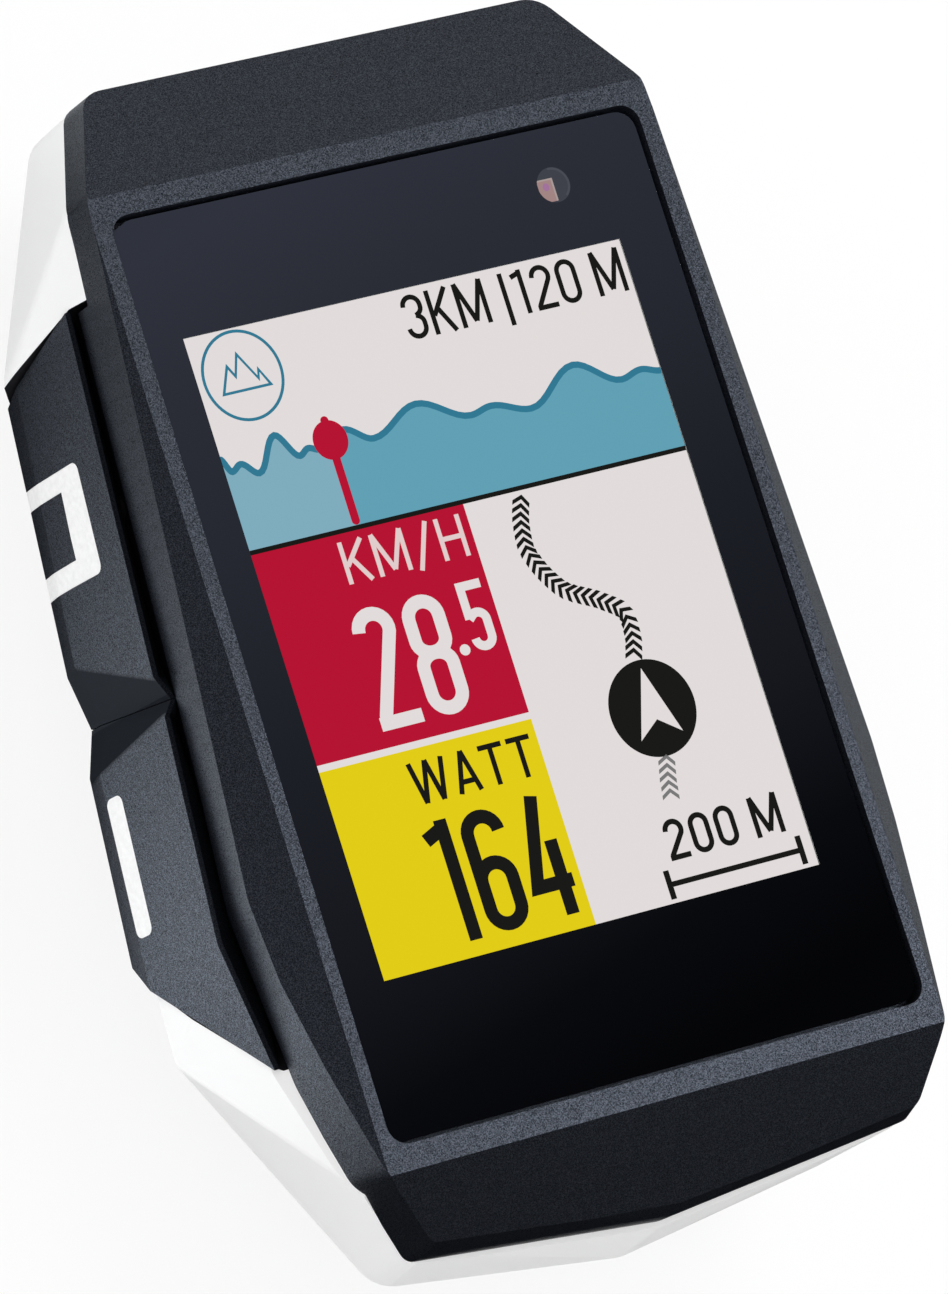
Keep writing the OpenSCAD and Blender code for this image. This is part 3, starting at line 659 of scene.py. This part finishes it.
def sensor_face():
    """Light sensor seen through its window, drawn as glowing sheets though it is no lamp: a pale die with a
    darker core, low on the left.
    """
    x, y = (SENSOR.x - SCREEN_CENTRE.x) / MM, (SENSOR.y - SCREEN_CENTRE.y) / MM
    left, right, foot, top = x - 0.95, x + 0.02, y - 0.9, y + 0.41
    sill = top - 0.09
    sheet("sensor_ground", [oval(x, y, 1.12, 1.12, 48)], 6, "eye")
    # painted highlight along the right side of the window's rim
    sheet("sensor_rim_highlight", ribbon(arc(x, y, 0.93, 0.93, -50, 95, 18), 0.12), 7, "eye_rim_highlight")
    sheet("sensor_die", [rect(left, right, foot, top)], 7, "die")
    # painted highlight along the top and right edges of the die
    sheet("sensor_die_edge_highlight", [rect(left, right, sill, top), rect(right - 0.1, right, foot, sill)],
          8, "die_edge_highlight")
    sheet("sensor_die_core", [oval(x - 0.48, y - 0.04, 0.2, 0.22, 32)], 8, "die_core")


sensor_face()


# ---------------------------------------------------------------- print behind the glass
def plan_outline(node):
    """Convex outline of a CAD node seen from above, anticlockwise."""
    points = sorted({(round(v.co.x, 7), round(v.co.y, 7)) for v in NODES[node].data.vertices})

    def turn(a, b, c):
        return (b[0] - a[0]) * (c[1] - a[1]) - (b[1] - a[1]) * (c[0] - a[0])

    def chain(row):
        kept = []
        for p in row:
            while len(kept) > 1 and turn(kept[-2], kept[-1], p) <= 0:
                kept.pop()
            kept.append(p)
        return kept[:-1]
    return chain(points) + chain(points[::-1])


def printed_border(name, outer, z, margin, eye_r):
    """Thin plate between an outer outline and the lit area, with a round hole over the light sensor."""
    half_w, half_h = SCREEN_W_MM / 2 * MM + margin, SCREEN_H_MM / 2 * MM + margin
    cx, cy = SCREEN_CENTRE.x, SCREEN_CENTRE.y
    loops = [outer, rect(cx - half_w, cx + half_w, cy - half_h, cy + half_h),
             oval(SENSOR.x, SENSOR.y, eye_r, eye_r, 40)]
    bm = bmesh.new()
    edges = []
    for loop in loops:
        ring = [bm.verts.new((x, y, z)) for x, y in loop]
        edges += [bm.edges.new((a, b)) for a, b in zip(ring, ring[1:] + ring[:1])]
    bmesh.ops.triangle_fill(bm, use_beauty=True, edges=edges, normal=(0, 0, 1))
    grown = bmesh.ops.extrude_face_region(bm, geom=bm.faces[:])
    upper = [v for v in grown["geom"] if isinstance(v, bmesh.types.BMVert)]
    bmesh.ops.translate(bm, vec=(0, 0, PRINT_T), verts=upper)
    bmesh.ops.recalc_face_normals(bm, faces=bm.faces)
    obj = placed(name, bm, BORDER_PAINTED_REFLECTION)
    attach(obj, "housing")


PRINT_T = 0.02 * MM
PRINT_INSET = 0.06 * MM
# black print with a painted reflection, glowing though it is no lamp
BORDER_PAINTED_REFLECTION = border_print_painted_reflection("glass_border_print_painted_reflection")
lens_edge = [(x - math.copysign(PRINT_INSET, x), y - math.copysign(PRINT_INSET, y))
             for x, y in plan_outline("cover_lens")]
# the upper print's openings are wider, so that the lower one's show whole from the side
printed_border("border_print_top", lens_edge, LENS_HI.z - 0.09 * MM, margin=0.9 * MM, eye_r=1.8 * MM)
printed_border("border_print_foot", lens_edge, LENS_LO.z + 0.06 * MM, margin=0.0, eye_r=1.0 * MM)


# ---------------------------------------------------------------- floor, light, camera
def studio_paper(m):
    """White paper; shiny surfaces see it as a glow with painted shade near the body and a painted pool of
    light, and from below it is open.
    """
    grain = m.noise(60, 2.0)
    tone = m.mix(grain, (0.93, 0.93, 0.93), (0.96, 0.96, 0.96))
    rays = m.add("ShaderNodeLightPath")
    paper = m.surface(colour=tone, rough=0.95, spec=0.05)
    camera_share = m.math("MULTIPLY", rays.outputs["Is Camera Ray"], 0.87)
    backdrop = m.blend(camera_share, paper, m.glow((1, 1, 1, 1), 0.97))
    # painted reflection: what shiny surfaces see of the floor is a glow, with painted shade close to the body
    # and a painted pool of light, brightest at its lower left
    at = m.axes()
    away_x = m.math("SUBTRACT", m.math("ABSOLUTE", at[0]), FOOTPRINT.x)
    away_y = m.math("SUBTRACT", m.math("ABSOLUTE", at[1]), FOOTPRINT.y)
    outside_painted_shade = m.math("MULTIPLY", m.span(m.math("MAXIMUM", away_x, away_y), 2 * MM, 9 * MM),
                      m.span(at[1], -30 * MM, -25 * MM))
    left_side = m.span(at[0], 15 * MM, -5 * MM)
    painted_light_pool = m.span(at[1], -8 * MM, 23 * MM, 3.2, 0.95)
    level = m.math("ADD", m.math("MULTIPLY", left_side, painted_light_pool),
                   m.math("MULTIPLY", m.math("SUBTRACT", 1.0, left_side), 0.7))
    seen = m.glow((0.93, 0.97, 1.0, 1), m.math("MULTIPLY", level, outside_painted_shade))
    above = m.blend(rays.outputs["Is Glossy Ray"], backdrop, seen)
    below = m.add("ShaderNodeNewGeometry").outputs["Backfacing"]
    return m.finish(m.blend(below, above, m.add("ShaderNodeBsdfTransparent").outputs[0]))


def stage_floor():
    """Wide sheet just below the foot."""
    floor_half, clearance = 1.2, 0.02 * MM
    bm = bmesh.new()
    bmesh.ops.create_grid(bm, x_segments=1, y_segments=1, size=floor_half)
    floor = placed("studio_floor", bm, studio_paper(Mat("studio_paper")))
    floor.location.z = CAD_BOX[0].z - clearance


def area_light(name, way, distance, size, power, glossy_only=False):
    """A soft panel that faces the object from a direction of the CAD frame."""
    data = bpy.data.lights.new(name, "AREA")
    data.shape = "RECTANGLE"
    data.size, data.size_y = size
    data.energy = power
    light = bpy.data.objects.new(name, data)
    way = Vector(way).normalized()
    light.location = SCREEN_CENTRE + way * distance
    light.rotation_euler = (-way).to_track_quat("-Z", "Y").to_euler()
    light.visible_diffuse = not glossy_only
    bpy.context.scene.collection.objects.link(light)


def world_light(level):
    """Even white light for matt surfaces; shiny ones see a dim room with a few soft patches."""
    m = Mat("studio", world=True)
    way = m.add("ShaderNodeTexCoord").outputs["Generated"]
    # direction, cosine at the edge and brightness of each patch
    patches = [((0.447, 0.773, 0.451), 0.75, 0.75), ((-0.885, 0.125, 0.446), 0.8, 0.4)]
    seen = 0.05
    for toward, edge, amount in patches:
        turn = m.add("ShaderNodeVectorMath", {0: way, 1: toward}, operation="DOT_PRODUCT").outputs["Value"]
        seen = m.math("ADD", m.span(turn, edge, 1.0, 0.0, amount), seen)
    shiny = m.add("ShaderNodeLightPath").outputs["Is Glossy Ray"]
    matt = m.math("SUBTRACT", 1.0, shiny)
    strength = m.math("ADD", m.math("MULTIPLY", shiny, seen), m.math("MULTIPLY", matt, level))
    m.finish(m.add("ShaderNodeBackground", {"Color": (1, 1, 1, 1), "Strength": strength}).outputs[0])
    bpy.context.scene.world = m.m


def camera():
    """Long lens from the upper left, turned about its own axis as in the product view."""
    data = bpy.data.cameras.new("camera")
    data.lens = 250.4
    data.sensor_width = 36
    cam = bpy.data.objects.new("camera", data)
    cam.location = SCREEN_CENTRE + Vector((-0.21591, -0.06018, 0.42794))
    cam.rotation_euler = Euler([math.radians(a) for a in (14.986, -23.143, -18.98)])
    bpy.context.scene.collection.objects.link(cam)
    bpy.context.scene.camera = cam


stage_floor()
world_light(1.0)
area_light("overhead_panel", (0.447, 0.298, 0.844), 0.6, (0.3, 0.3), 1.35)
area_light("near_panel", (0.5, -0.25, 0.83), 0.12, (0.04, 0.04), 0.06, glossy_only=True)
camera()
bpy.context.scene.view_settings.view_transform = "Standard"
